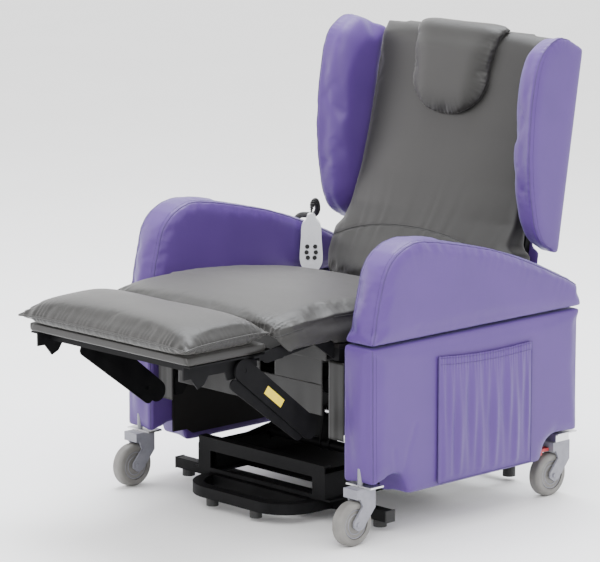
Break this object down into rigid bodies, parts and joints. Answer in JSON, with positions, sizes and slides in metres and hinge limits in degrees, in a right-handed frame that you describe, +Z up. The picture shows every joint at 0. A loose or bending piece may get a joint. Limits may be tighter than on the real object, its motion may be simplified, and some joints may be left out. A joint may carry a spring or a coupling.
{
  "type": "riser recliner chair",
  "caption": "Upholstered riser recliner patient chair on swivel casters, with winged back, head pillow, raised legrest, padded arms, side pocket and corded handset.",
  "frame": {"origin": "on the floor, midway between the arms and midway along them", "axes": "+Z up, -Y the way the sitter faces, +X at the sitter's left"},
  "size_m": [0.861, 1.1618, 1.0659],
  "materials": {
    "purple": "satin",
    "grey": "satin",
    "lining": "matt",
    "steel": "satin black",
    "plate": "satin",
    "wood": "bare",
    "caster": "satin",
    "tread": "matt",
    "rubber": "matt",
    "motor": "satin",
    "rod": "polished",
    "handset": "satin",
    "button": "matt",
    "label": "satin",
    "pedal": "satin",
    "cord": "satin"
  },
  "bodies": {
    "lift_base": {"base_frame": "steel", "base_cross_tube": "steel", "u_bar": "steel", "base_rubber": "rubber", "base_pins": "plate"},
    "lift_arms": {"lift_arms_long": "steel"},
    "lift_arms_rear": {"lift_arms_short": "steel"},
    "lift_motor": {"lift_motor": "motor"},
    "lift_rod": {"lift_rod": "rod"},
    "chassis": {"seat_frame": "steel", "chassis_plates": "steel", "hinge_pins": "plate", "seat_board": "lining", "seat_cushion": "grey", "skirt": "lining", "side_panel_left": "purple", "side_panel_right": "purple", "side_linings": "lining", "caster_beams": "steel", "caster_plates": "plate", "arm_pad_left": "purple", "arm_pad_right": "purple", "arm_cores": "wood", "side_pocket": "purple", "control_box": "motor", "handset": "handset", "handset_cord": "cord", "cord_gland": "cord"},
    "legrest": {"legrest_frame": "steel", "footboard": "grey", "legrest_pad": "grey", "chaise_pad": "grey"},
    "legrest_links": {"legrest_links": "steel", "link_labels": "label"},
    "legrest_motor": {"legrest_motor": "motor"},
    "legrest_rod": {"legrest_rod": "rod"},
    "back_motor": {"back_motor": "motor"},
    "back_rod": {"back_rod": "rod"},
    "backrest": {"back_frame": "steel", "back_panel": "purple", "back_cushion": "grey", "wing_left": "purple", "wing_right": "purple", "head_pillow": "grey"},
    "caster_front_left": {"caster_fork_front_left": "caster"},
    "wheel_front_left": {"caster_wheel_front_left": "tread"},
    "caster_front_right": {"caster_fork_front_right": "caster"},
    "wheel_front_right": {"caster_wheel_front_right": "tread"},
    "brake_left": {"brake_pedal_rear_left": "pedal"},
    "caster_rear_left": {"caster_fork_rear_left": "caster"},
    "wheel_rear_left": {"caster_wheel_rear_left": "tread"},
    "brake_right": {"brake_pedal_rear_right": "pedal"},
    "caster_rear_right": {"caster_fork_rear_right": "caster"},
    "wheel_rear_right": {"caster_wheel_rear_right": "tread"},
    "button_1": {"handset_button_1": "button"},
    "button_2": {"handset_button_2": "button"},
    "button_3": {"handset_button_3": "button"},
    "button_4": {"handset_button_4": "button"},
    "button_5": {"handset_button_5": "button"},
    "button_6": {"handset_button_6": "button"}
  },
  "joints": [
    {"name": "lift", "type": "hinge", "parent": "lift_base", "child": "lift_arms", "pos_m": [0, -0.235, 0.09], "axis": [1, 0, 0], "range_deg": [0, 56]},
    {"name": "lift_tilt", "type": "hinge", "parent": "lift_arms", "child": "chassis", "pos_m": [0, 0.15, 0.15], "axis": [1, 0, 0], "range_deg": [-38.1, 0]},
    {"name": "lift_rear", "type": "hinge", "parent": "lift_base", "child": "lift_arms_rear", "pos_m": [0, -0.182, 0.09], "axis": [1, 0, 0], "range_deg": [0, 54]},
    {"name": "lift_motor_pivot", "type": "hinge", "parent": "lift_base", "child": "lift_motor", "pos_m": [0, 0.298, 0.1], "axis": [1, 0, 0], "range_deg": [-6.23, 0]},
    {"name": "lift_extend", "type": "slide", "parent": "lift_motor", "child": "lift_rod", "axis": [0, -0.9698, 0.2438], "range_m": [0, 0.184]},
    {"name": "legrest", "type": "hinge", "parent": "chassis", "child": "legrest", "pos_m": [0, -0.375, 0.45], "axis": [1, 0, 0], "range_deg": [0, 90]},
    {"name": "legrest_link", "type": "hinge", "parent": "legrest", "child": "legrest_links", "pos_m": [0, -0.568, 0.404], "axis": [1, 0, 0], "range_deg": [-68, 0]},
    {"name": "legrest_motor_pivot", "type": "hinge", "parent": "chassis", "child": "legrest_motor", "pos_m": [0.062, 0.16, 0.318], "axis": [1, 0, 0], "range_deg": [-0.2, 0]},
    {"name": "legrest_retract", "type": "slide", "parent": "legrest_motor", "child": "legrest_rod", "axis": [0, 0.9941, -0.1083], "range_m": [0, 0.1468]},
    {"name": "recline", "type": "hinge", "parent": "chassis", "child": "backrest", "pos_m": [0, 0.215, 0.425], "axis": [-1, 0, 0], "range_deg": [0, 32]},
    {"name": "back_motor_pivot", "type": "hinge", "parent": "chassis", "child": "back_motor", "pos_m": [-0.062, -0.215, 0.318], "axis": [1, 0, 0], "range_deg": [0, 2.58]},
    {"name": "back_retract", "type": "slide", "parent": "back_motor", "child": "back_rod", "axis": [0, -1, -0.0047], "range_m": [0, 0.0562]},
    {"name": "swivel_front_left", "type": "hinge", "parent": "chassis", "child": "caster_front_left", "pos_m": [0.363, -0.328, 0.12], "axis": [0, 0, 1], "continuous": true},
    {"name": "roll_front_left", "type": "hinge", "parent": "caster_front_left", "child": "wheel_front_left", "pos_m": [0.363, -0.354, 0.05], "axis": [1, 0, 0], "continuous": true},
    {"name": "swivel_front_right", "type": "hinge", "parent": "chassis", "child": "caster_front_right", "pos_m": [-0.363, -0.328, 0.12], "axis": [0, 0, 1], "continuous": true},
    {"name": "roll_front_right", "type": "hinge", "parent": "caster_front_right", "child": "wheel_front_right", "pos_m": [-0.363, -0.354, 0.05], "axis": [1, 0, 0], "continuous": true},
    {"name": "swivel_rear_left", "type": "hinge", "parent": "chassis", "child": "caster_rear_left", "pos_m": [0.363, 0.303, 0.12], "axis": [0, 0, 1], "continuous": true},
    {"name": "roll_rear_left", "type": "hinge", "parent": "caster_rear_left", "child": "wheel_rear_left", "pos_m": [0.363, 0.277, 0.05], "axis": [1, 0, 0], "continuous": true},
    {"name": "brake_left", "type": "hinge", "parent": "caster_rear_left", "child": "brake_left", "pos_m": [0.363, 0.269, 0.1105], "axis": [1, 0, 0], "range_deg": [0, 8]},
    {"name": "swivel_rear_right", "type": "hinge", "parent": "chassis", "child": "caster_rear_right", "pos_m": [-0.363, 0.303, 0.12], "axis": [0, 0, 1], "continuous": true},
    {"name": "roll_rear_right", "type": "hinge", "parent": "caster_rear_right", "child": "wheel_rear_right", "pos_m": [-0.363, 0.277, 0.05], "axis": [1, 0, 0], "continuous": true},
    {"name": "brake_right", "type": "hinge", "parent": "caster_rear_right", "child": "brake_right", "pos_m": [-0.363, 0.269, 0.1105], "axis": [1, 0, 0], "range_deg": [0, 8]},
    {"name": "press_1", "type": "slide", "parent": "chassis", "child": "button_1", "axis": [-0.7193, 0.6947, 0], "range_m": [0, 0.001], "stiffness_N_per_m": 300},
    {"name": "press_2", "type": "slide", "parent": "chassis", "child": "button_2", "axis": [-0.7193, 0.6947, 0], "range_m": [0, 0.001], "stiffness_N_per_m": 300},
    {"name": "press_3", "type": "slide", "parent": "chassis", "child": "button_3", "axis": [-0.7193, 0.6947, 0], "range_m": [0, 0.001], "stiffness_N_per_m": 300},
    {"name": "press_4", "type": "slide", "parent": "chassis", "child": "button_4", "axis": [-0.7193, 0.6947, 0], "range_m": [0, 0.001], "stiffness_N_per_m": 300},
    {"name": "press_5", "type": "slide", "parent": "chassis", "child": "button_5", "axis": [-0.7193, 0.6947, 0], "range_m": [0, 0.001], "stiffness_N_per_m": 300},
    {"name": "press_6", "type": "slide", "parent": "chassis", "child": "button_6", "axis": [-0.7193, 0.6947, 0], "range_m": [0, 0.001], "stiffness_N_per_m": 300}
  ],
  "couplings": [
    {"joint": "lift_tilt", "follows": "lift", "ratio": -0.678},
    {"joint": "lift_rear", "follows": "lift", "ratio": 0.9582},
    {"joint": "lift_motor_pivot", "follows": "lift", "ratio": -0.10941},
    {"joint": "lift_extend", "follows": "lift", "m_per_rad": 0.18723},
    {"joint": "legrest_link", "follows": "legrest", "ratio": -0.747},
    {"joint": "legrest_motor_pivot", "follows": "legrest", "ratio": -0.001066},
    {"joint": "legrest_retract", "follows": "legrest", "m_per_rad": 0.092801},
    {"joint": "back_motor_pivot", "follows": "recline", "ratio": 0.077482},
    {"joint": "back_retract", "follows": "recline", "m_per_rad": 0.098864}
  ]
}
